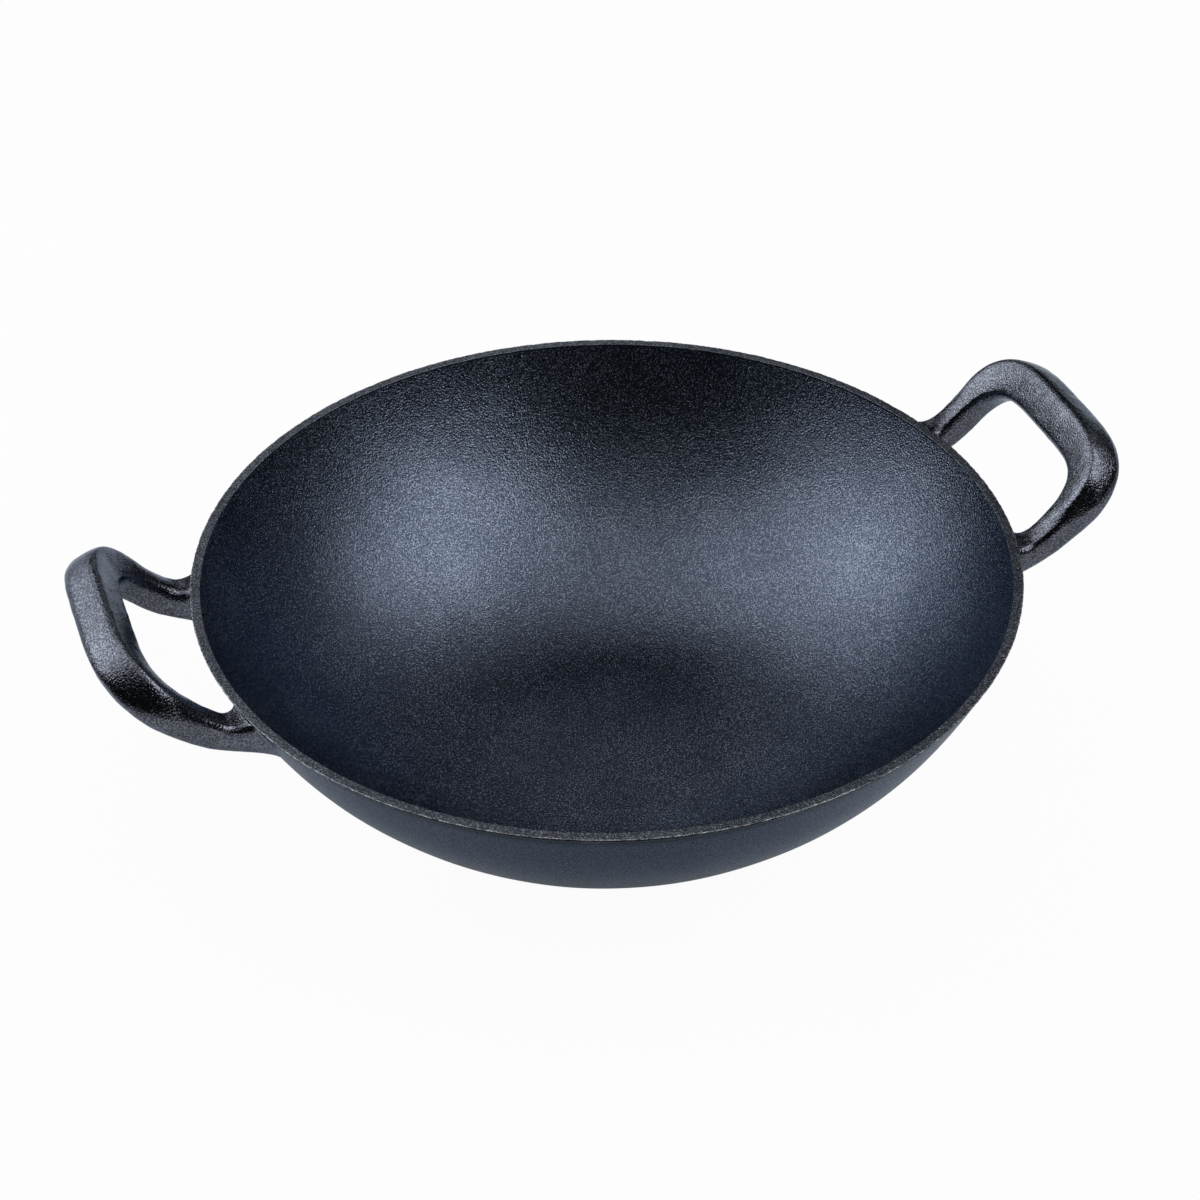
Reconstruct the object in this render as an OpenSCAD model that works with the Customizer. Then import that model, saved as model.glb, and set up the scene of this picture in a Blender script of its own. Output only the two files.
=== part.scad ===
// Cast iron wok: thin curved bowl, flat rim, flat foot and two upturned loop handles.
// Millimetres, +Z up. The origin is the middle of the foot's underside. The handles lie along X.

/* [Bowl] */
// outer radius of the rim
rim_radius = 178; // [160:1:220]
// slope of the outer wall just under the rim, in degrees from level
wall_angle = 65.75; // [60:0.25:70]
// radius of curvature where the wall runs into the flat bottom
corner_bend = 30; // [20:1:45]
// radius of curvature that the wall would reach at vertical
side_bend = 317; // [250:1:340]
// wall thickness at the rim
rim_wall = 4.6; // [3.8:0.1:5.4]
// wall thickness at the bottom
bottom_wall = 5; // [4:0.1:8]

/* [Rim] */
// height of the rim ring on its outer side
lip_height = 3.2; // [2.8:0.1:5]
// width of the rim ring's level top
lip_width = 4; // [3:0.1:5]
// rounding of the rim's outer edge
lip_outer_round = 0.6; // [0.3:0.1:0.9]
// rounding of the rim's inner edge
lip_inner_round = 0.5; // [0.3:0.1:0.8]

/* [Foot] */
// how far the flat foot stands proud of the bottom
foot_height = 1.6; // [1:0.1:4]
// distance from the edge of the flat bottom in to the foot's edge
foot_inset = 4; // [2:0.5:12]
// rounding of the foot's lower edge
foot_round = 0.6; // [0.3:0.1:0.9]

/* [Handle loop] */
// half the clear width of the loop, arm to arm
loop_half_width = 42.5; // [38:0.5:48]
// reach of the loop's inner edge, measured up its slope from the pivot line
loop_reach = 38; // [32:0.5:48]
// distance the loop's outline starts behind the pivot line
loop_setback = 8; // [6:0.5:10]
// squareness of the loop's outline: 2 is an ellipse, more is squarer
loop_squareness = 4.6; // [3.6:0.1:5.6]
// slope of the loop, in degrees up from level
loop_tilt = 41.5; // [34:0.5:46]
// extra upward curl of the loop at its reach
loop_curl = 1; // [0:0.1:2]
// distance from the rim's outer edge in to the pivot line
pivot_inset = 2; // [1:0.5:4]
// distance from the rim's top down to the pivot line
pivot_drop = 3.8; // [3:0.1:5]

/* [Handle section] */
// width of the grip bar
bar_width = 21; // [18:0.5:25]
// depth of the grip bar below its inner top edge
bar_depth = 15; // [12:0.5:17]
// width of each arm
arm_width = 12.2; // [10:0.2:13]
// depth of each arm below its inner top edge
arm_depth = 13.6; // [12:0.2:15]
// rounding of the section's largest corner
section_round = 3; // [2:0.1:3.6]

/* [Handle roots] */
// half the distance between the middles of the two roots
root_half_span = 47; // [44:0.5:49]
// distance from the rim's top down to the top of a root
root_drop = 0.9; // [0.8:0.1:2]
// height of a root before it flares
root_height = 18; // [15:0.5:20]
// distance from the pivot line out to where an arm leaves its root
root_length = 3; // [2:0.5:5]
// flare of a root along the wall, away from the loop
flare_out = 11; // [6:0.5:14]
// flare of a root along the wall, into the loop
flare_in = 6; // [3:0.5:7]
// flare of a root down the wall
flare_down = 4; // [2:0.5:6]
// clearance between a root and the wall it is cast on
root_clearance = 0.05; // [0.02:0.01:0.3]

/* [Hidden] */
$fn = 240;
bend_gain = (side_bend - corner_bend) * 2 / PI;
wall_steps = 40;
round_steps = 5;
loop_steps = 34;
blend_steps = 6;
cap_shares = [0.7, 0.4, 0];
root_pull_share = 0.45;
loop_change_power = 1.75;
curl_reach_share = 1.05;

// corners of the section: across its width, then down its depth, as shares of both
arm_shares = [[0, 0], [0.55, 0.02], [0.91, -0.08], [1, -1], [-0.07, -0.98], [-0.11, -0.31]];
bar_shares = [[0, 0], [0.76, 0.28], [1, -0.64], [0.93, -0.98], [0.15, -1], [-0.06, -0.28]];
// rounding of each corner as a share of the largest
round_shares = [0.43, 0.73, 0.53, 1, 0.73, 0.27];

// run and rise of a wall whose radius of curvature grows evenly with its slope
function in_radians(slope) = slope * PI / 180;
function run(slope) = corner_bend * sin(slope)
    + bend_gain * (in_radians(slope) * sin(slope) + cos(slope));
function rise(slope) = -corner_bend * cos(slope)
    + bend_gain * (sin(slope) - in_radians(slope) * cos(slope));

flat_radius = rim_radius - run(wall_angle) + run(0);
wall_top = foot_height + rise(wall_angle) - rise(0);
rim_top = wall_top + lip_height;
foot_radius = flat_radius - foot_inset;

function outer_radius(slope) = flat_radius + run(slope) - run(0);
function outer_height(slope) = foot_height + rise(slope) - rise(0);
function wall_thickness(slope) = bottom_wall + (rim_wall - bottom_wall) * slope / wall_angle;
function outer_point(slope) = [outer_radius(slope), outer_height(slope)];
function inner_point(slope) = outer_point(slope) + wall_thickness(slope) * [-sin(slope), cos(slope)];

// slope at which the outer wall reaches a height, by halving the range
function slope_at(height, low, high, turns) =
    turns == 0 ? (low + high) / 2
    : outer_height((low + high) / 2) < height
        ? slope_at(height, (low + high) / 2, high, turns - 1)
        : slope_at(height, low, (low + high) / 2, turns - 1);
function radius_at(height) =
    height >= wall_top ? rim_radius : outer_radius(slope_at(height, 0, wall_angle, 24));

// points of a rounded corner, from one angle to another
function rounded(centre, radius, from, to) =
    [for (i = [0 : round_steps])
        centre + radius * [cos(from + (to - from) * i / round_steps), sin(from + (to - from) * i / round_steps)]];

module wok_bowl() {
    outer = [for (i = [0 : wall_steps]) outer_point(wall_angle * i / wall_steps)];
    inner = [for (i = [wall_steps : -1 : 0]) inner_point(wall_angle * i / wall_steps)];
    color([0.13, 0.14, 0.16])
    rotate_extrude()
    polygon(concat([[0, foot_height]], outer, inner, [[0, foot_height + bottom_wall]]));
}

module rim_lip() {
    inner_radius = rim_radius - lip_width;
    color([0.16, 0.17, 0.19])
    rotate_extrude()
    polygon(concat(
        [inner_point(wall_angle), outer_point(wall_angle)],
        rounded([rim_radius - lip_outer_round, rim_top - lip_outer_round], lip_outer_round, 0, 90),
        rounded([inner_radius + lip_inner_round, rim_top - lip_inner_round], lip_inner_round, 90, 180)));
}

module base_foot() {
    color([0.12, 0.13, 0.14])
    rotate_extrude()
    polygon(concat(
        [[0, 0]],
        rounded([foot_radius - foot_round, foot_round], foot_round, -90, 0),
        [[foot_radius, foot_height], [0, foot_height]]));
}

// outline of the loop's inner edge: out along the slope, across, and its outward direction
function power_root(value) = pow(value, 1 / loop_squareness);
function outline_share(turn) =
    1 / power_root(pow(abs(cos(turn)), loop_squareness) + pow(abs(sin(turn)), loop_squareness));
function outline_out(turn) =
    -loop_setback + (loop_reach + loop_setback) * sin(turn) * outline_share(turn);
function outline_across(turn) = loop_half_width * cos(turn) * outline_share(turn);
function outline_normal(turn) =
    let (direction = [
        pow(abs(sin(turn) * outline_share(turn)), loop_squareness - 1) / (loop_reach + loop_setback),
        sign(cos(turn)) * pow(abs(cos(turn) * outline_share(turn)), loop_squareness - 1) / loop_half_width])
    direction / norm(direction);
first_share = (root_length + loop_setback) / (loop_reach + loop_setback);
first_turn = atan2(first_share, power_root(1 - pow(first_share, loop_squareness)));

// the section changes from arm to bar as the loop runs out to its reach
function eased(share) = share <= 0 ? 0 : share >= 1 ? 1 : share * share * (3 - 2 * share);
function section_corner(i, change) =
    let (arm = [arm_shares[i][0] * arm_width, arm_shares[i][1] * arm_depth],
         bar = [bar_shares[i][0] * bar_width, bar_shares[i][1] * bar_depth])
    arm + (bar - arm) * change;
function cut_toward(corner, other, cut) =
    corner + (other - corner) * min(cut / norm(other - corner), 0.45);
function cut_section(change) =
    [for (i = [0 : 5]) for (side = [5, 1])
        cut_toward(section_corner(i, change), section_corner((i + side) % 6, change),
            section_round * round_shares[i])];
function softened(points) =
    [for (i = [0 : len(points) - 1]) for (share = [0.25, 0.75])
        points[i] + (points[(i + 1) % len(points)] - points[i]) * share];
function section(change) = softened(cut_section(change));

// place a point of the sloping loop: out along the slope, across, and up from the slope
function on_loop(out, across, up) =
    let (curled = up + loop_curl * pow(out / (curl_reach_share * loop_reach), 2))
    [rim_radius - pivot_inset + out * cos(loop_tilt) - curled * sin(loop_tilt),
     across,
     rim_top - pivot_drop + out * sin(loop_tilt) + curled * cos(loop_tilt)];
function loop_ring(turn) =
    let (change = pow(eased(outline_out(turn) / loop_reach), loop_change_power),
         normal = outline_normal(turn))
    [for (q = section(change))
        on_loop(outline_out(turn) + normal[0] * q[0], outline_across(turn) + normal[1] * q[0], q[1])];

// the first section, with each point's place in it from -1 to 1 both ways
first_section = section(pow(eased(root_length / loop_reach), loop_change_power));
section_across = [for (q = first_section) q[0]];
section_up = [for (q = first_section) q[1]];
half_across = (max(section_across) - min(section_across)) / 2;
middle_across = (max(section_across) + min(section_across)) / 2;
half_up = (max(section_up) - min(section_up)) / 2;
middle_up = (max(section_up) + min(section_up)) / 2;
first_places = [for (q = first_section)
    [(q[0] - middle_across) / half_across, (q[1] - middle_up) / half_up]];

// a root's edge on the wall, plain and flared, and the points inside it
root_middle = rim_top - root_drop - root_height / 2;
function on_wall(across, height) =
    [sqrt(pow(radius_at(height) + root_clearance, 2) - across * across), across, height];
function plain_edge(place) = [root_half_span + place[0] * half_across, root_middle + place[1] * root_height / 2];
function flared_edge(place) = plain_edge(place)
    + [place[0] * (place[0] > 0 ? flare_out : flare_in), min(place[1], 0) * flare_down];
function cap_ring(share) =
    [for (place = first_places)
        let (middle = [root_half_span, root_middle - flare_down / 2],
             edge = middle + (flared_edge(place) - middle) * share)
        on_wall(edge[0], edge[1])];
function curve_point(a, b, c, d, s) =
    pow(1 - s, 3) * a + 3 * s * pow(1 - s, 2) * b + 3 * s * s * (1 - s) * c + s * s * s * d;
function blend_ring(share) =
    let (arm = loop_ring(first_turn),
         pull = root_pull_share * root_length * [cos(loop_tilt), 0, sin(loop_tilt)])
    [for (i = [0 : len(arm) - 1])
        let (plain = plain_edge(first_places[i]), flared = flared_edge(first_places[i]))
        curve_point(on_wall(flared[0], flared[1]), on_wall(plain[0], plain[1]), arm[i] - pull, arm[i], share)];
function mirrored(ring) = [for (q = ring) [q[0], -q[1], q[2]]];

// all rings of one handle, from the middle of one root's cap to the middle of the other's
root_rings = concat(
    [for (i = [len(cap_shares) - 2 : -1 : 0]) cap_ring(cap_shares[i])],
    [for (i = [0 : blend_steps - 1]) blend_ring(i / blend_steps)]);
loop_rings = [for (i = [0 : loop_steps])
    loop_ring(first_turn + (180 - 2 * first_turn) * i / loop_steps)];
far_rings = [for (i = [len(root_rings) - 1 : -1 : 0]) mirrored(root_rings[i])];
rings = concat(root_rings, loop_rings, far_rings);

module handle() {
    around = len(rings[0]);
    last = len(rings) - 1;
    middle = cap_ring(0)[0];
    points = concat([for (ring = rings) each ring], [middle, [middle[0], -middle[1], middle[2]]]);
    near_middle = around * (last + 1);
    sides = [for (i = [0 : last - 1]) for (j = [0 : around - 1])
        let (k = (j + 1) % around)
        each [[i * around + j, (i + 1) * around + j, (i + 1) * around + k],
              [i * around + j, (i + 1) * around + k, i * around + k]]];
    near_cap = [for (j = [0 : around - 1]) [near_middle, j, (j + 1) % around]];
    far_cap = [for (j = [0 : around - 1])
        [near_middle + 1, last * around + (j + 1) % around, last * around + j]];
    polyhedron(points, concat(sides, near_cap, far_cap), convexity = 6);
}

module right_handle() {
    color([0.15, 0.16, 0.18]) handle();
}

module left_handle() {
    color([0.15, 0.16, 0.18]) rotate([0, 0, 180]) handle();
}

wok_bowl();
rim_lip();
base_foot();
left_handle();
right_handle();
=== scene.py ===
import math

import bpy
import numpy as np
from mathutils import Matrix, Vector


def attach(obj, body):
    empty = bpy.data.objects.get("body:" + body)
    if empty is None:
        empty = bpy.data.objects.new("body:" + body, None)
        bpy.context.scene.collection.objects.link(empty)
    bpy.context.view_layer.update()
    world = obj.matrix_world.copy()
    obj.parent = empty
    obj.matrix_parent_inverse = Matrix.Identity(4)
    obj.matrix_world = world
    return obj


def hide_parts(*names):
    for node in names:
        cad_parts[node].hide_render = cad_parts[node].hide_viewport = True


# A cast iron wok with two loop handles. Shapes are worked out in millimetres, in the frame's own axes:
# origin under the middle of the foot, +X towards the right handle, +Z up. Meshes are stored in metres.
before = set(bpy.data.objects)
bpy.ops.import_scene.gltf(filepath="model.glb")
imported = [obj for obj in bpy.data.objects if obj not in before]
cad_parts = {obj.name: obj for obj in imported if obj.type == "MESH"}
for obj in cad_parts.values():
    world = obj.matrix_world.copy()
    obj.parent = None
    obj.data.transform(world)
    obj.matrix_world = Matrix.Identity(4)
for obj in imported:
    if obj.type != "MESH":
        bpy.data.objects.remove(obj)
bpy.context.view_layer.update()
print("frame loaded:", sorted(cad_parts))

mm = 0.001


# mesh and noise helpers
def gridFaces(rows, columns, closeRows=False):
    # four-sided faces of a rows x columns grid of points, wrapped round along its columns, and its rows if closed
    r = np.arange(rows if closeRows else rows - 1)
    a, b = np.meshgrid(r, np.arange(columns), indexing="ij")
    nextRow, nextColumn = (a + 1) % rows, (b + 1) % columns
    quads = np.stack([a * columns + b, a * columns + nextColumn, nextRow * columns + nextColumn,
                      nextRow * columns + b], -1)
    return quads.reshape(-1, 4)


def addPiece(name, points, faces, nodeName, slotName):
    # one smooth mesh object from points in millimetres, riding on the only body
    mesh = bpy.data.meshes.new(name)
    mesh.from_pydata((np.asarray(points) * mm).tolist(), [], faces)
    mesh.update()
    mesh.polygons.foreach_set("use_smooth", np.ones(len(mesh.polygons), bool))
    piece = bpy.data.objects.new(name, mesh)
    bpy.context.scene.collection.objects.link(piece)
    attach(piece, "root")
    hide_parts(nodeName)
    print("built", name, "-", len(mesh.vertices), "points")
    return piece


def paintPoints(piece, name, values):
    # one number for each point of a piece, which its material reads as an attribute
    layer = piece.data.attributes.new(name, "FLOAT", "POINT")
    layer.data.foreach_set("value", np.asarray(values, np.float32).ravel())


def ripple(points, wave, seed, count=28):
    # smooth bumps about one wave apart: many plane waves in random directions, added and scaled to about -1..1
    dice = np.random.default_rng(seed)
    way = dice.normal(size=(count, 3))
    way *= (2 * np.pi / (wave * dice.uniform(0.7, 1.5, count)) / np.linalg.norm(way, axis=1))[:, None]
    return np.sin(points @ way.T + dice.uniform(0, 2 * np.pi, count)).sum(-1) / math.sqrt(count)


def eased(t):
    # slow start and end between 0 and 1
    t = np.clip(t, 0, 1)
    return t * t * (3 - 2 * t)


def roundCorners(points, radii, steps=5):
    # a line through the points, each inner corner replaced by a curve that starts its radius before it
    points = np.asarray(points, float)
    line = [points[:1]]
    s = np.linspace(0, 1, steps + 1)[:, None]
    for before, corner, after, radius in zip(points, points[1:], points[2:], radii):
        inWay, outWay = before - corner, after - corner
        inLength, outLength = np.linalg.norm(inWay), np.linalg.norm(outWay)
        a = corner + inWay * min(radius / inLength, 0.48)
        b = corner + outWay * min(radius / outLength, 0.48)
        line.append((1 - s) ** 2 * a + 2 * s * (1 - s) * corner + s * s * b)
    line.append(points[-1:])
    return np.concatenate(line)


# cast iron finishes
def socket(group, name, kind, way, value=None):
    made = group.interface.new_socket(name=name, in_out=way, socket_type=kind)
    if value is not None:
        made.default_value = value
    return made


def mathNode(tree, operation, *values):
    # one Math node; a value is a number or another node's output
    node = tree.nodes.new("ShaderNodeMath")
    node.operation = operation
    for slot, value in zip(node.inputs, values):
        if isinstance(value, bpy.types.NodeSocket):
            tree.links.new(value, slot)
        else:
            slot.default_value = value
    return node.outputs[0]


grain = {
    "gritScale": 2.1,       # these three are counted per grain
    "fleckScale": 1.45,
    "pitScale": 0.22,
    "pitRadius": 0.16,      # of a pit, in its own cells
    "pitBlur": 0.05,
    "patchScale": 26.0,     # broad pale and dark patches, per metre
    "patchShare": 0.3,
    "bumpShare": 0.55,      # how much the height shows in the tone, next to the flecks
}


def makeGrainGroup():
    # sand-cast skin: soft pebbles about one grain apart, finer grit, scattered pits and broad patches.
    # Height is in shares of the bump distance, Tone is 0 to 1 for colour and gloss
    group = bpy.data.node_groups.new("castGrain", "ShaderNodeTree")
    for name, value in (("Grain per metre", 900.0), ("Grit", 0.35), ("Pits", 0.2), ("Speckle", 0.7)):
        socket(group, name, "NodeSocketFloat", "INPUT", value)
    socket(group, "Height", "NodeSocketFloat", "OUTPUT")
    socket(group, "Tone", "NodeSocketFloat", "OUTPUT")
    add, link = group.nodes.new, group.links.new
    given, result, place = add("NodeGroupInput"), add("NodeGroupOutput"), add("ShaderNodeTexCoord")
    stretch = add("ShaderNodeVectorMath")
    stretch.operation = "SCALE"
    link(place.outputs["Object"], stretch.inputs[0])
    link(given.outputs["Grain per metre"], stretch.inputs["Scale"])

    def noise(scale, detail, roughness, source):
        node = add("ShaderNodeTexNoise")
        node.inputs["Scale"].default_value = scale
        node.inputs["Detail"].default_value = detail
        node.inputs["Roughness"].default_value = roughness
        link(source, node.inputs["Vector"])
        return node.outputs["Fac"]

    pebbles = noise(1.0, 0.0, 0.5, stretch.outputs[0])
    grit = noise(grain["gritScale"], 0.0, 0.5, stretch.outputs[0])
    patches = noise(grain["patchScale"], 3.0, 0.55, place.outputs["Object"])
    pits = add("ShaderNodeTexVoronoi")
    pits.feature = "F1"
    pits.inputs["Scale"].default_value = grain["pitScale"]
    link(stretch.outputs[0], pits.inputs["Vector"])
    depth = mathNode(group, "SUBTRACT", grain["pitRadius"], pits.outputs["Distance"])
    hollow = mathNode(group, "SMOOTH_MAX", depth, 0.0, grain["pitBlur"])
    bumps = mathNode(group, "MULTIPLY_ADD", mathNode(group, "SUBTRACT", grit, 0.5), given.outputs["Grit"], pebbles)
    height = mathNode(group, "SUBTRACT", bumps, mathNode(group, "MULTIPLY", hollow, given.outputs["Pits"]))
    link(height, result.inputs["Height"])
    flecks = noise(grain["fleckScale"], 0.0, 0.5, stretch.outputs[0])
    mixed = mathNode(group, "MULTIPLY_ADD", mathNode(group, "SUBTRACT", bumps, 0.5), grain["bumpShare"],
                     mathNode(group, "SUBTRACT", flecks, 0.5))
    speckle = mathNode(group, "MULTIPLY_ADD", mixed, given.outputs["Speckle"], 0.5)
    tone = mathNode(group, "MULTIPLY_ADD", mathNode(group, "SUBTRACT", patches, 0.5), grain["patchShare"], speckle)
    link(tone, result.inputs["Tone"])
    return group


grainGroup = makeGrainGroup()


tones = {                   # the grain's tone, 0 to 1, where each thing begins and ends
    "dark": 0.35, "light": 0.63, "fleck": 0.76,
    "rough": (0.35, 0.65),
    "dust": (0.67, 0.77),
}


def makeIron(name, finish):
    # seasoned cast iron: a dark blue-grey metal skin whose colour, gloss and height follow the same grain
    iron = bpy.data.materials.new(name)
    iron.use_nodes = True
    tree = iron.node_tree
    shader = tree.nodes["Principled BSDF"]
    shader.inputs["Specular Tint"].default_value = (*finish["edgeTint"], 1)
    skin = tree.nodes.new("ShaderNodeGroup")
    skin.node_tree = grainGroup
    skin.inputs["Grain per metre"].default_value = 1000 / finish["grainMm"]
    for key in ("grit", "pits", "speckle"):
        skin.inputs[key.capitalize()].default_value = finish[key]
    colour = tree.nodes.new("ShaderNodeValToRGB")
    colour.color_ramp.elements.new(0.5)
    for element, key in zip(colour.color_ramp.elements, ("dark", "light", "fleck")):
        element.position, element.color = tones[key], (*finish[key], 1)
    rough = tree.nodes.new("ShaderNodeMapRange")
    for key, value in (("From Min", tones["rough"][0]), ("From Max", tones["rough"][1]),
                       ("To Min", finish["rough"][1]), ("To Max", finish["rough"][0])):
        rough.inputs[key].default_value = value
    bump = tree.nodes.new("ShaderNodeBump")
    bump.inputs["Strength"].default_value = 1.0
    bump.inputs["Distance"].default_value = finish["bumpMm"] * mm
    link = tree.links.new
    # two point attributes paint light into the colour: the first mixes in a painted highlight along the rim's lip,
    # the second darkens the colour as painted shade in the groove under the lip and on the wall's top
    paintedHighlight, paintedShade = [tree.nodes.new("ShaderNodeAttribute") for _ in range(2)]
    paintedHighlight.attribute_name, paintedShade.attribute_name = "paintedHighlight", "paintedShade"
    tone = skin.outputs["Tone"]
    # the palest flecks are a little dusty, so they also show where the skin mirrors only the dark
    flecks = tree.nodes.new("ShaderNodeMapRange")
    flecks.interpolation_type = "SMOOTHSTEP"
    for key, value in (("From Min", tones["dust"][0]), ("From Max", tones["dust"][1]),
                       ("To Min", 1.0), ("To Max", 1.0 - finish["dust"])):
        flecks.inputs[key].default_value = value
    paintedHighlightColour = tree.nodes.new("ShaderNodeMix")
    paintedHighlightColour.data_type = "RGBA"
    paintedHighlightColour.inputs["B"].default_value = (*finish["paintedHighlightColour"], 1)
    paintedShadeScale = mathNode(tree, "SUBTRACT", 1.0, mathNode(tree, "MULTIPLY", paintedShade.outputs["Fac"], finish["paintedShadeStrength"]))
    shaded = tree.nodes.new("ShaderNodeVectorMath")
    shaded.operation = "SCALE"
    link(tone, colour.inputs["Fac"])
    link(paintedHighlight.outputs["Fac"], paintedHighlightColour.inputs["Factor"])
    link(colour.outputs["Color"], paintedHighlightColour.inputs["A"])
    link(paintedHighlightColour.outputs["Result"], shaded.inputs[0])
    link(paintedShadeScale, shaded.inputs["Scale"])
    link(shaded.outputs[0], shader.inputs["Base Color"])
    link(tone, flecks.inputs["Value"])
    link(flecks.outputs["Result"], shader.inputs["Metallic"])
    link(tone, rough.inputs["Value"])
    link(rough.outputs["Result"], shader.inputs["Roughness"])
    link(skin.outputs["Height"], bump.inputs["Height"])
    link(bump.outputs["Normal"], shader.inputs["Normal"])
    return iron


finishes = {
    # grainMm is the grain's size and bumpMm its height, dust the dull share of the palest flecks, rough the roughness
    # of pale and of dark grain, edgeTint the mirror's tint at a flat angle, the next the colour of the painted
    # highlight along the lip where it is full, and the last how much the painted shade under the lip darkens
    "bowlIron": {"grainMm": 0.80, "grit": 0.55, "pits": 0.30, "speckle": 1.2, "bumpMm": 0.18, "dust": 0.30,
                 "dark": (0.060, 0.074, 0.104), "light": (0.120, 0.147, 0.207), "fleck": (0.240, 0.272, 0.345),
                 "rough": (0.18, 0.24), "edgeTint": (0.62, 0.68, 0.75),
                 "paintedHighlightColour": (0.30, 0.32, 0.38), "paintedShadeStrength": 0.9},
    "wallIron": {"grainMm": 0.80, "grit": 0.50, "pits": 0.20, "speckle": 1.2, "bumpMm": 0.11, "dust": 0.15,
                 "dark": (0.012, 0.016, 0.024), "light": (0.047, 0.061, 0.089), "fleck": (0.057, 0.074, 0.108),
                 "rough": (0.22, 0.30), "edgeTint": (0.78, 0.86, 1.0),
                 "paintedHighlightColour": (0.30, 0.32, 0.38), "paintedShadeStrength": 0.95},
    "rimIron": {"grainMm": 0.80, "grit": 0.50, "pits": 0.30, "speckle": 1.0, "bumpMm": 0.20, "dust": 0.20,
                "dark": (0.092, 0.102, 0.124), "light": (0.270, 0.293, 0.349), "fleck": (0.32, 0.35, 0.42),
                "rough": (0.24, 0.32), "edgeTint": (0.80, 0.88, 1.0),
                "paintedHighlightColour": (0.70, 0.73, 0.80), "paintedShadeStrength": 0.97},
    "handleIron": {"grainMm": 0.82, "grit": 0.45, "pits": 0.25, "speckle": 1.0, "bumpMm": 0.15, "dust": 0.12,
                   "dark": (0.062, 0.067, 0.082), "light": (0.178, 0.191, 0.234), "fleck": (0.22, 0.235, 0.29),
                   "rough": (0.13, 0.17), "edgeTint": (0.80, 0.88, 1.0),
                   "paintedHighlightColour": (0.30, 0.32, 0.38), "paintedShadeStrength": 0.9},
}
irons = {name: makeIron(name, finish) for name, finish in finishes.items()}
print("finishes made")

# the wall, as one curve for bowl, rim and handles
wall = {
    "rimRadius": 178.0,     # outside radius at the rim
    "slope": 65.75,         # slope of the wall at the rim, degrees
    "cornerBend": 30.0,     # bend radius outside, where the flat bottom turns up
    "sideBend": 317.0,      # bend radius the outside would have if it went on to upright
    "insideBend": 95.0,     # bend radius inside, where the cooking surface turns up: much softer than outside
    "rimThickness": 4.6,
    "bottomThickness": 5.0,
    "lipHeight": 3.2,
    "footHeight": 1.6,
    "topInset": 1.6,        # how far the wall's top stays back under the rim's edge
    "insetFrom": 60.0,      # height at which the wall starts to draw back
}


def bend(slopeDegrees, corner, gain):
    # run and rise from the flat up to a slope: the bend radius grows evenly with slope, so both are closed sums
    a = np.radians(np.asarray(slopeDegrees, float).ravel())
    run = corner * np.sin(a) + gain * (a * np.sin(a) + np.cos(a) - 1)
    rise = corner * (1 - np.cos(a)) + gain * (np.sin(a) - a * np.cos(a))
    return np.stack([run, rise], -1)


slopeEnd = math.radians(wall["slope"])
outsideGain = (wall["sideBend"] - wall["cornerBend"]) * 2 / math.pi
fullRun, fullRise = bend(wall["slope"], wall["cornerBend"], outsideGain)[0]
flatRadius = wall["rimRadius"] - fullRun
wallTop = wall["footHeight"] + fullRise
rimTop = wallTop + wall["lipHeight"]


def wallOutside(slopeDegrees):
    # outside of the wall by slope, drawn back a little towards its top so that the rim's edge stands out over it
    curve = bend(slopeDegrees, wall["cornerBend"], outsideGain) + (flatRadius, wall["footHeight"])
    curve[:, 0] -= wall["topInset"] * eased((curve[:, 1] - wall["insetFrom"]) / (wallTop - wall["insetFrom"]))
    return curve


innerTop = np.array([wall["rimRadius"] - wall["rimThickness"] * math.sin(slopeEnd),
                     wallTop + wall["rimThickness"] * math.cos(slopeEnd)])
innerBottom = wall["footHeight"] + wall["bottomThickness"]
insideGain = ((innerTop[1] - innerBottom - wall["insideBend"] * (1 - math.cos(slopeEnd)))
              / (math.sin(slopeEnd) - slopeEnd * math.cos(slopeEnd)))
insideFlat = innerTop[0] - bend(wall["slope"], wall["insideBend"], insideGain)[0, 0]


def wallInside(slopeDegrees):
    # inside of the wall by slope, with its own softer bend, ending at the rim's inner edge
    return bend(slopeDegrees, wall["insideBend"], insideGain) + (insideFlat, innerBottom)


outsideTable = wallOutside(np.linspace(0, wall["slope"], 400))
wallTan = math.tan(slopeEnd)


def wallRadius(z):
    # outside radius at height z; above the wall's top it goes on at the same slope, up to the rim's lip
    above = outsideTable[-1, 0] + (np.minimum(z, rimTop - 0.9) - wallTop) / wallTan
    return np.where(z >= wallTop, above, np.interp(z, outsideTable[:, 1], outsideTable[:, 0]))


def turned(profile, columns):
    # a profile of (radius, height) points carried round the upright axis
    angle = np.arange(columns) * 2 * np.pi / columns
    r, z = profile[:, 0][:, None], profile[:, 1][:, None]
    return np.stack([r * np.cos(angle), r * np.sin(angle), z + 0 * angle], -1)


def closePoles(grid):
    # points and faces of a skin whose first and last rows are each closed by a fan to their middle
    rows, columns = grid.shape[:2]
    points = np.concatenate([grid.reshape(-1, 3), grid[0].mean(0)[None], grid[-1].mean(0)[None]])
    here = np.arange(columns)
    after = (here + 1) % columns
    first = np.stack([after, here, np.full(columns, rows * columns)], -1)
    last = np.stack([here + (rows - 1) * columns, after + (rows - 1) * columns,
                     np.full(columns, rows * columns + 1)], -1)
    return points, gridFaces(rows, columns).tolist() + first.tolist() + last.tolist()


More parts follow.
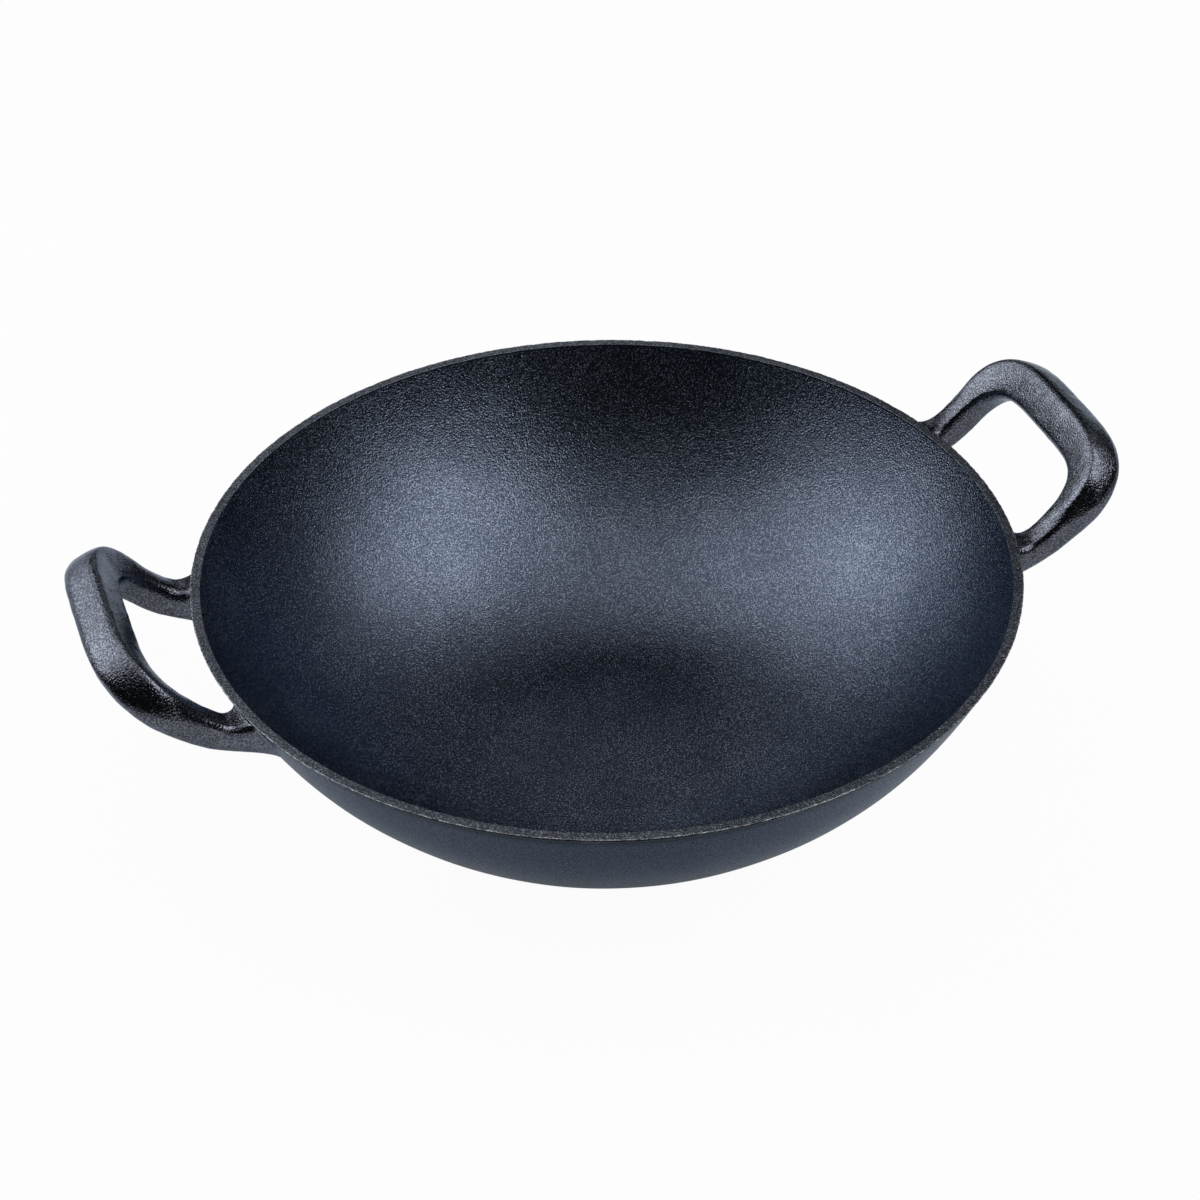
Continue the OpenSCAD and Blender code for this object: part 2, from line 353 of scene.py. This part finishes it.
# rim
rim = {
    "columns": 1500,
    "width": 4.4,
    "edgeInset": 0.03,      # keeps the sharp edge inside the plain solid's rim
    "edgeBand": 0.9,        # width of the band next to the inner and outer edge
    "innerRound": 0.3,
    "outerRound": 0.3,
    "lipDrop": 0.3,         # height of the small sharp lip
    "underDrop": 0.75,      # where the wall's own slope takes over below it
    "underCut": 0.3,        # how far the groove under the lip goes in behind that slope
    "edgeWave": 3.6,        # length of the nicks along the lip
    "edgeDepth": 0.30,
    "paintedHighlightWidth": 0.22,      # width of the painted highlight line along the lip
    "paintedShadeDepth": 3.6,       # how far down the groove's painted shade reaches before it fades
    "paintedShadeFade": 2.6,
    "paintedShadeFrom": 0.16,       # how far under the rim's top the painted shade starts, and over what height it grows full
    "paintedShadeWave": 30.0,
    "paintedShadeReach": 2.4,       # only this near the outer edge
    "topWave": 9.0,         # length and depth of the flat top's low dips
    "topHeight": 0.07,
    "paintedHighlightWave": 2.6,        # length of the bright and dull places along the lip's painted highlight
}


def paintedGrooveShade(points, outside):
    # painted shade in the groove below the lip, in place of the shadow under its overhang, by height under the rim's
    # top, thinner in some places than in others
    height = points[..., 2] - rimTop
    paintedShade = eased((-rim["paintedShadeFrom"] - height) / rim["paintedShadeFrom"])
    paintedShade *= eased((height + rim["paintedShadeDepth"] + rim["paintedShadeFade"]) / rim["paintedShadeFade"])
    return outside * paintedShade * np.clip(1.1 + 0.35 * ripple(points, rim["paintedShadeWave"], 25), 0.6, 1)


def makeRim():
    # a closed ring: seat on the wall's top, inner side, flat top, sharp lip, small undercut, the wall's own slope
    inner, outer = wallInside([wall["slope"]])[0], wallOutside([wall["slope"]])[0]
    edge, band = wall["rimRadius"] - rim["edgeInset"], rim["edgeBand"]
    underZ = rimTop - rim["underDrop"]
    under = np.array([outer[0] + (underZ - wallTop) / wallTan - rim["underCut"], underZ])
    lower = under + (rim["underCut"] - 0.2, -0.5)
    corners = [(outer + inner) / 2, inner, (edge + rim["edgeInset"] - rim["width"], rimTop),
               (edge - rim["width"] + band, rimTop), (edge - band, rimTop), (edge, rimTop),
               (edge, rimTop - rim["lipDrop"]), under, lower, outer, (outer + inner) / 2 + (0.01, 0)]
    profile = roundCorners(corners, [0.02, rim["innerRound"], 0.1, 0.1, rim["outerRound"], 0.1, 0.15, 0.2, 0.2],
                           steps=6)[:-1]
    grid = turned(profile, rim["columns"])
    radius = np.hypot(grid[..., 0], grid[..., 1])
    # nicks along the lip pull its edge in and down; they grow from the flat top outwards and end below the lip
    lip = eased((radius - (edge - band)) / 0.7) * eased((grid[..., 2] - (rimTop - 1.2)) / 0.5)
    uneven = ripple(grid, rim["edgeWave"], 21) * 0.55 + ripple(grid, rim["edgeWave"] / 2.2, 22) * 0.55
    pull = rim["edgeDepth"] * lip * np.clip(0.2 + 0.45 * uneven, 0, 1)
    shrink = 1 - pull / radius
    grid[..., 0] *= shrink
    grid[..., 1] *= shrink
    flatTop = eased((grid[..., 2] - (rimTop - 0.6)) / 0.5)
    dips = np.clip(1 + ripple(grid, rim["topWave"], 23), 0, 3)
    grid[..., 2] -= 0.5 * pull + flatTop * rim["topHeight"] * dips
    faces = gridFaces(*grid.shape[:2], closeRows=True)
    piece = addPiece("rimLip", grid.reshape(-1, 3), faces[:, ::-1].tolist(), "rim_lip", "rim_iron")
    piece.data.materials.append(irons["rimIron"])
    # a painted highlight along the lip's outer edge, in place of the light its rounded edge catches, brighter in some
    # places than in others; under it painted shade in the groove
    height = grid[..., 2] - rimTop
    paintedHighlight = np.exp(-((radius - edge + 0.2) / rim["paintedHighlightWidth"]) ** 2) * eased((height + 0.26) / 0.2)
    paintPoints(piece, "paintedHighlight", paintedHighlight * np.clip(0.6 + 0.55 * ripple(grid, rim["paintedHighlightWave"], 24), 0, 1))
    paintPoints(piece, "paintedShade", paintedGrooveShade(grid, radius > edge - rim["paintedShadeReach"]))


# bowl
bowl = {
    "columns": 512,         # points round the bowl
    "wallRows": 76,         # points up each side of the wall
    "waveLength": 55.0,     # long, low waves left by the sand mould
    "waveHeight": 0.10,
    "edgeRow": 0.012,       # slope step of the narrow last row, which keeps the shading true up to the edge
    "crowding": 1.15,       # rows crowd towards the rim
    "middleRows": (0.03, 0.12, 0.27, 0.45, 0.62, 0.77, 0.88, 0.95, 0.98),   # as shares of the flat's radius
    "edgePoints": 4,        # across the wall's top edge
}


def makeBowl():
    # inside from the middle out and up, across the wall's top edge, and back down the outside to the middle
    slopes = wall["slope"] * (1 - (1 - np.linspace(0, 1, bowl["wallRows"])) ** bowl["crowding"])
    slopes = np.insert(slopes, -1, wall["slope"] - bowl["edgeRow"])
    flat = np.array(bowl["middleRows"])[:, None]
    insideMiddle = np.hstack([flat * insideFlat, np.full_like(flat, innerBottom)])
    outsideMiddle = np.hstack([flat * flatRadius, np.full_like(flat, wall["footHeight"])])
    inside, outside = wallInside(slopes), wallOutside(slopes)
    top = inside[-1] + (outside[-1] - inside[-1]) * np.linspace(0, 1, bowl["edgePoints"] + 2)[1:-1, None]
    profile = np.concatenate([insideMiddle, inside, top, outside[::-1], outsideMiddle[::-1]])
    grid = turned(profile, bowl["columns"])
    height = grid[..., 2]
    # the waves fade out towards the rim and the foot
    fade = eased((wallTop - 4 - height) / 18) * eased((height - 1.7) / 6)
    grid[..., 2] += bowl["waveHeight"] * fade * ripple(grid, bowl["waveLength"], 11)
    points, faces = closePoles(grid)
    piece = addPiece("wokBowl", points, [f[::-1] for f in faces], "wok_bowl", "bowl_iron")
    # faces outside the cooking surface take the second finish; the fan at the inside's middle comes near the end
    insideFaces = (len(insideMiddle) + len(inside)) * bowl["columns"]
    second = np.zeros(len(piece.data.polygons), np.int32)
    second[insideFaces:] = 1
    second[len(points) - 2 - bowl["columns"]:][:bowl["columns"]] = 0
    for name in ("bowlIron", "wallIron"):
        piece.data.materials.append(irons[name])
    piece.data.polygons.foreach_set("material_index", second)
    # the outside's top rows get the same painted shade as the groove under the rim's lip
    paintPoints(piece, "paintedShade", paintedGrooveShade(points, np.arange(len(points)) >= insideFaces))


# foot
foot = {
    "inset": 4.0,           # how far its edge stands in from the flat bottom's
    "rounding": 0.9, "columns": 256,
    "sideRun": 4,           # the rounded side starts and ends this far in
    "middleRows": (0.96, 0.85, 0.7, 0.5, 0.3, 0.12, 0.03),      # as shares of the radius inside that
}


def makeFoot():
    # a low round pad under the bowl with a rounded edge
    radius, high = flatRadius - foot["inset"], wall["footHeight"]
    start = radius - foot["sideRun"]
    side = roundCorners([(start, high), (radius, high), (radius, 0), (start, 0)], [0.05, foot["rounding"]], steps=8)
    inwards = np.array(foot["middleRows"])[:, None] * start
    top = np.hstack([inwards[::-1], np.full_like(inwards, high)])
    under = np.hstack([inwards, np.zeros_like(inwards)])
    points, faces = closePoles(turned(np.concatenate([top, side, under]), foot["columns"]))
    piece = addPiece("baseFoot", points, [f[::-1] for f in faces], "base_foot", "foot_iron")
    piece.data.materials.append(irons["wallIron"])


# handles
handle = {
    "halfWidth": 42.5,      # of the loop, across
    "reach": 38.0,          # how far the loop stands out
    "setback": 8.0,         # how far inside the wall its curve starts
    "squareness": 4.6,      # power of the rounded square: 2 would be round
    "tilt": 41.5,           # how steeply the loop's plane climbs, degrees
    "curl": 1.0,            # how far the bar bends up out of that plane
    "pivotInset": 2.0, "pivotDrop": 3.8,    # where the tilted plane meets the rim, inwards and down from its top
    "barWidth": 21.0, "barDepth": 15.0, "armWidth": 12.2, "armDepth": 13.6, "rounding": 3.0,
    "rootSpan": 47.0, "rootDrop": 0.9, "rootHeight": 18.0, "rootLength": 3.0,
    "flareOut": 8.8, "flareIn": 10.0, "flareDown": 4.0, "pull": 0.45,
    "changePower": 1.75,    # how late the thin arm turns into the wide bar
    "sink": 0.4,            # the root goes this far into the wall, so no gap shows
    "loopRows": 190, "rootRows": 26, "softening": 3,
    "easeRows": 22, "easeRounds": 160,      # how far and how often the joint of root and loop is smoothed
    "lumpLength": 9.0, "lumpHeight": 0.06,
}
# corners of the cross-section, as shares of its width and depth: thin arm, wide bar, and how much each is rounded
armCorners = np.array([[0, 0], [0.55, 0.02], [0.91, -0.08], [1, -1], [-0.15, -1.06], [-0.13, -0.31]])
barCorners = np.array([[0, 0], [0.76, 0.28], [1, -0.64], [0.93, -0.98], [0.15, -1], [-0.06, -0.28]])
cornerRounds = np.array([0.43, 0.73, 0.53, 1, 0.73, 0.27])


def handleSection(change):
    # six-cornered cross-section, corners cut off by their rounding and then softened; change 0 is arm, 1 is bar
    arm = armCorners * [handle["armWidth"], handle["armDepth"]]
    bar = barCorners * [handle["barWidth"], handle["barDepth"]]
    corners = arm + (bar - arm) * change[:, None, None]
    cut = []
    for i in range(6):
        for side in (5, 1):
            way = corners[:, (i + side) % 6] - corners[:, i]
            length = np.linalg.norm(way, axis=-1, keepdims=True)
            cut.append(corners[:, i] + way * np.minimum(handle["rounding"] * cornerRounds[i] / length, 0.45))
    section = np.stack(cut, 1)
    for _ in range(handle["softening"]):
        after = np.roll(section, -1, 1)
        section = np.stack([0.75 * section + 0.25 * after, 0.25 * section + 0.75 * after], 2)
        section = section.reshape(len(change), -1, 2)
    return section


def makeHandle(name, side, nodeName):
    # cross-sections carried along a rounded-square loop in a tilted plane, from one root to the other;
    # each root is a cubic blend from a flared outline on the wall to the arm's first cross-section
    h = handle
    tilt = math.radians(h["tilt"])
    share = (h["rootLength"] + h["setback"]) / (h["reach"] + h["setback"])
    first = math.atan2(share, (1 - share ** h["squareness"]) ** (1 / h["squareness"]))
    turn = np.linspace(first, math.pi - first, h["loopRows"])
    c, s = np.cos(turn), np.sin(turn)
    size = (np.abs(c) ** h["squareness"] + np.abs(s) ** h["squareness"]) ** (-1 / h["squareness"])
    out = -h["setback"] + (h["reach"] + h["setback"]) * s * size
    across = h["halfWidth"] * c * size
    normal = np.stack([np.abs(s * size) ** (h["squareness"] - 1) / (h["reach"] + h["setback"]),
                       np.sign(c) * np.abs(c * size) ** (h["squareness"] - 1) / h["halfWidth"]], -1)
    normal /= np.linalg.norm(normal, axis=-1, keepdims=True)
    section = handleSection(eased(out / h["reach"]) ** h["changePower"])
    o = out[:, None] + normal[:, None, 0] * section[..., 0]
    a = across[:, None] + normal[:, None, 1] * section[..., 0]
    u = section[..., 1] + h["curl"] * (o / (1.05 * h["reach"])) ** 2
    loop = np.stack([wall["rimRadius"] - h["pivotInset"] + o * math.cos(tilt) - u * math.sin(tilt), a,
                     rimTop - h["pivotDrop"] + o * math.sin(tilt) + u * math.cos(tilt)], -1)

    plain = handleSection(eased(np.array([h["rootLength"] / h["reach"]])) ** h["changePower"])[0]
    middle, half = (plain.max(0) + plain.min(0)) / 2, (plain.max(0) - plain.min(0)) / 2
    place = (plain - middle) / half
    rootMiddle = rimTop - h["rootDrop"] - h["rootHeight"] / 2
    near = np.stack([h["rootSpan"] + place[:, 0] * half[0], rootMiddle + place[:, 1] * h["rootHeight"] / 2], -1)
    flared = near + np.stack([place[:, 0] * np.where(place[:, 0] > 0, h["flareOut"], h["flareIn"]),
                              np.minimum(place[:, 1], 0) * h["flareDown"]], -1)

    def onWall(yz):
        return np.stack([np.sqrt((wallRadius(yz[:, 1]) - h["sink"]) ** 2 - yz[:, 0] ** 2), yz[:, 0], yz[:, 1]], -1)

    pull = h["pull"] * h["rootLength"] * np.array([math.cos(tilt), 0, math.sin(tilt)])
    t = np.linspace(0, 1, h["rootRows"] + 1)[:-1, None, None]
    root = ((1 - t) ** 3 * onWall(flared) + 3 * t * (1 - t) ** 2 * onWall(near)
            + 3 * t * t * (1 - t) * (loop[0] - pull) + t ** 3 * loop[0])
    grid = np.concatenate([root, loop, (root * [1, -1, 1])[::-1]])

    # each joint of root and loop is eased: its rows move towards the middle of their neighbours, many times
    fromJoint = np.abs(np.minimum(np.arange(len(grid)), np.arange(len(grid))[::-1]) - h["rootRows"])
    ease = (0.5 * eased(1 - fromJoint / h["easeRows"]) * (fromJoint < h["rootRows"]))[1:-1, None, None]
    for _ in range(h["easeRounds"]):
        grid[1:-1] += ease * ((grid[:-2] + grid[2:]) / 2 - grid[1:-1])

    # uneven casting: low lumps along the surface, fading out at the wall
    rows = len(grid)
    sideways = np.roll(grid, -1, 1) - np.roll(grid, 1, 1)
    along = np.gradient(grid, axis=0)
    outward = np.cross(along, sideways)
    outward /= np.linalg.norm(outward, axis=-1, keepdims=True) + 1e-9
    middleLine = grid.mean(1, keepdims=True)
    outward *= np.sign(((grid - middleLine) * outward).sum((0, 1, 2)))
    fade = eased(np.minimum(np.arange(rows), np.arange(rows)[::-1]) / h["rootRows"])[:, None, None]
    lumps = ripple(grid, h["lumpLength"], 31 + side)
    lumps += 0.45 * ripple(grid, h["lumpLength"] / 2.7, 35 + side)
    grid = grid + outward * (h["lumpHeight"] * fade * (np.minimum(lumps, 1.3) - 1.3)[..., None])
    grid[..., :2] *= side
    piece = addPiece(name, *closePoles(grid), nodeName, "handle_iron")
    piece.data.materials.append(irons["handleIron"])


makeBowl()
makeRim()
makeFoot()
makeHandle("rightHandle", 1, "right_handle")
makeHandle("leftHandle", -1, "left_handle")


# camera
lens = {
    "elevation": 36.542, "turn": 19.23, "roll": 0.642,      # degrees; turn is the handle line against the picture
    "distance": 1118.3,                                     # from the rim's centre
    "focal": 2600.23, "picture": 1200,                      # in pixels of the picture
    "sensor": 36,
    "rimX": 606.33, "rimY": 558.32,                         # where the rim's centre shows
}


def makeCamera():
    # stands on a ray from the rim's centre, looks at it, and is then turned so that the centre shows at rimX, rimY
    e, turn = math.radians(lens["elevation"]), math.radians(lens["turn"])
    back = Vector((0, -math.cos(e), math.sin(e)))
    right = Vector((1, 0, 0))
    rows = Matrix((right, right.cross(-back), -back))
    aim = Vector(((lens["rimX"] - lens["picture"] / 2) / lens["focal"],
                  -(lens["rimY"] - lens["picture"] / 2) / lens["focal"], 1)).normalized()
    swing = Vector((0, 0, 1)).rotation_difference(aim).to_matrix()
    rows = swing @ Matrix.Rotation(math.radians(lens["roll"]), 3, "Z") @ rows
    spin = Matrix.Rotation(-turn, 3, "Z")
    rows = rows @ spin.transposed()
    place = spin @ (back * lens["distance"] * mm) + Vector((0, 0, rimTop * mm))
    pose = Matrix((rows[0], rows[1], -rows[2])).transposed().to_4x4()
    pose.translation = place
    cameraData = bpy.data.cameras.new("photoCamera")
    cameraData.sensor_width = lens["sensor"]
    cameraData.lens = lens["focal"] / lens["picture"] * lens["sensor"]
    cameraData.clip_end = 50
    camera = bpy.data.objects.new("photoCamera", cameraData)
    bpy.context.scene.collection.objects.link(camera)
    camera.matrix_world = pose
    bpy.context.scene.camera = camera


makeCamera()

# floor, backdrop and light
stage = {
    "floorSize": 12.0,
    "floorGrey": 0.9,
    "cameraWhite": 0.96,    # how much of the floor the camera sees is plain white; the rest keeps the shadow
    "mirrorWhite": 0.22,    # the same for what the iron mirrors
    "airLight": 0.02,       # how bright the air round the stage is in the iron
    "airWhite": 0.975,      # how bright the camera sees it: the far floor's own white, so no horizon shows
}


def makeFloor():
    # a matt floor whose white share depends on who looks: the camera, or a mirroring or clear surface
    mesh = bpy.data.meshes.new("floor")
    h = stage["floorSize"] / 2
    mesh.from_pydata([(-h, -h, 0), (h, -h, 0), (h, h, 0), (-h, h, 0)], [], [(0, 1, 2, 3)])
    floor = bpy.data.objects.new("floor", mesh)
    bpy.context.scene.collection.objects.link(floor)
    paint = bpy.data.materials.new("floorPaint")
    paint.use_nodes = True
    tree = paint.node_tree
    tree.nodes.clear()
    out, mix = tree.nodes.new("ShaderNodeOutputMaterial"), tree.nodes.new("ShaderNodeMixShader")
    matt, glow = tree.nodes.new("ShaderNodeBsdfDiffuse"), tree.nodes.new("ShaderNodeEmission")
    matt.inputs["Color"].default_value = (*[stage["floorGrey"]] * 3, 1)
    glow.inputs["Strength"].default_value = 1.0
    ray = tree.nodes.new("ShaderNodeLightPath")
    mirrored = mathNode(tree, "MAXIMUM", ray.outputs["Is Glossy Ray"], ray.outputs["Is Transmission Ray"])
    share = mathNode(tree, "MULTIPLY_ADD", ray.outputs["Is Camera Ray"], stage["cameraWhite"],
                     mathNode(tree, "MULTIPLY", mirrored, stage["mirrorWhite"]))
    link = tree.links.new
    link(share, mix.inputs["Fac"])
    link(matt.outputs[0], mix.inputs[1])
    link(glow.outputs[0], mix.inputs[2])
    link(mix.outputs[0], out.inputs[0])
    mesh.materials.append(paint)


makeFloor()
lamps = {
    # name: direction in degrees (azimuth from the picture's right, elevation), distance, width and height
    # in metres, watts
    "rightSoft": (-10, 48, 1.8, 1.6, 1.2, 12.8),
    "leftSoft": (169, 50, 1.8, 1.6, 1.2, 7.3),
    "leftLow": (150, 20, 1.8, 1.4, 0.8, 5.0),
    "topSoft": (90, 90, 1.8, 1.8, 1.8, 6.3),
    "backLow": (97, 26, 1.8, 1.0, 0.5, 1.05),
    "rightBack": (36, 35, 1.8, 1.1, 0.9, 0.9),
    "leftSide": (171, 26, 1.8, 1.2, 0.8, 3.6),
}


def makeLamps():
    # soft boxes that all face the rim's centre
    aim = Vector((0, 0, rimTop * mm))
    for name, (azimuth, elevation, distance, width, height, watts) in lamps.items():
        a, e = math.radians(azimuth - lens["turn"]), math.radians(elevation)
        place = aim + distance * Vector((math.cos(a) * math.cos(e), math.sin(a) * math.cos(e), math.sin(e)))
        data = bpy.data.lights.new(name, "AREA")
        data.shape, data.size, data.size_y, data.energy = "RECTANGLE", width, height, watts
        lamp = bpy.data.objects.new(name, data)
        bpy.context.scene.collection.objects.link(lamp)
        lamp.location = place
        lamp.rotation_euler = (aim - place).to_track_quat("-Z", "Y").to_euler()
        lamp.visible_camera = False


def makeAir():
    # the floor's white to the camera, dim to everything else
    world = bpy.data.worlds.new("studio")
    bpy.context.scene.world = world
    world.use_nodes = True
    tree = world.node_tree
    air = tree.nodes["Background"]
    air.inputs["Color"].default_value = (1, 1, 1, 1)
    ray = tree.nodes.new("ShaderNodeLightPath")
    strength = mathNode(tree, "MULTIPLY_ADD", ray.outputs["Is Camera Ray"], stage["airWhite"] - stage["airLight"],
                        stage["airLight"])
    tree.links.new(strength, air.inputs["Strength"])


makeLamps()
makeAir()
bpy.context.scene.view_settings.view_transform = "Standard"
print("stage set")
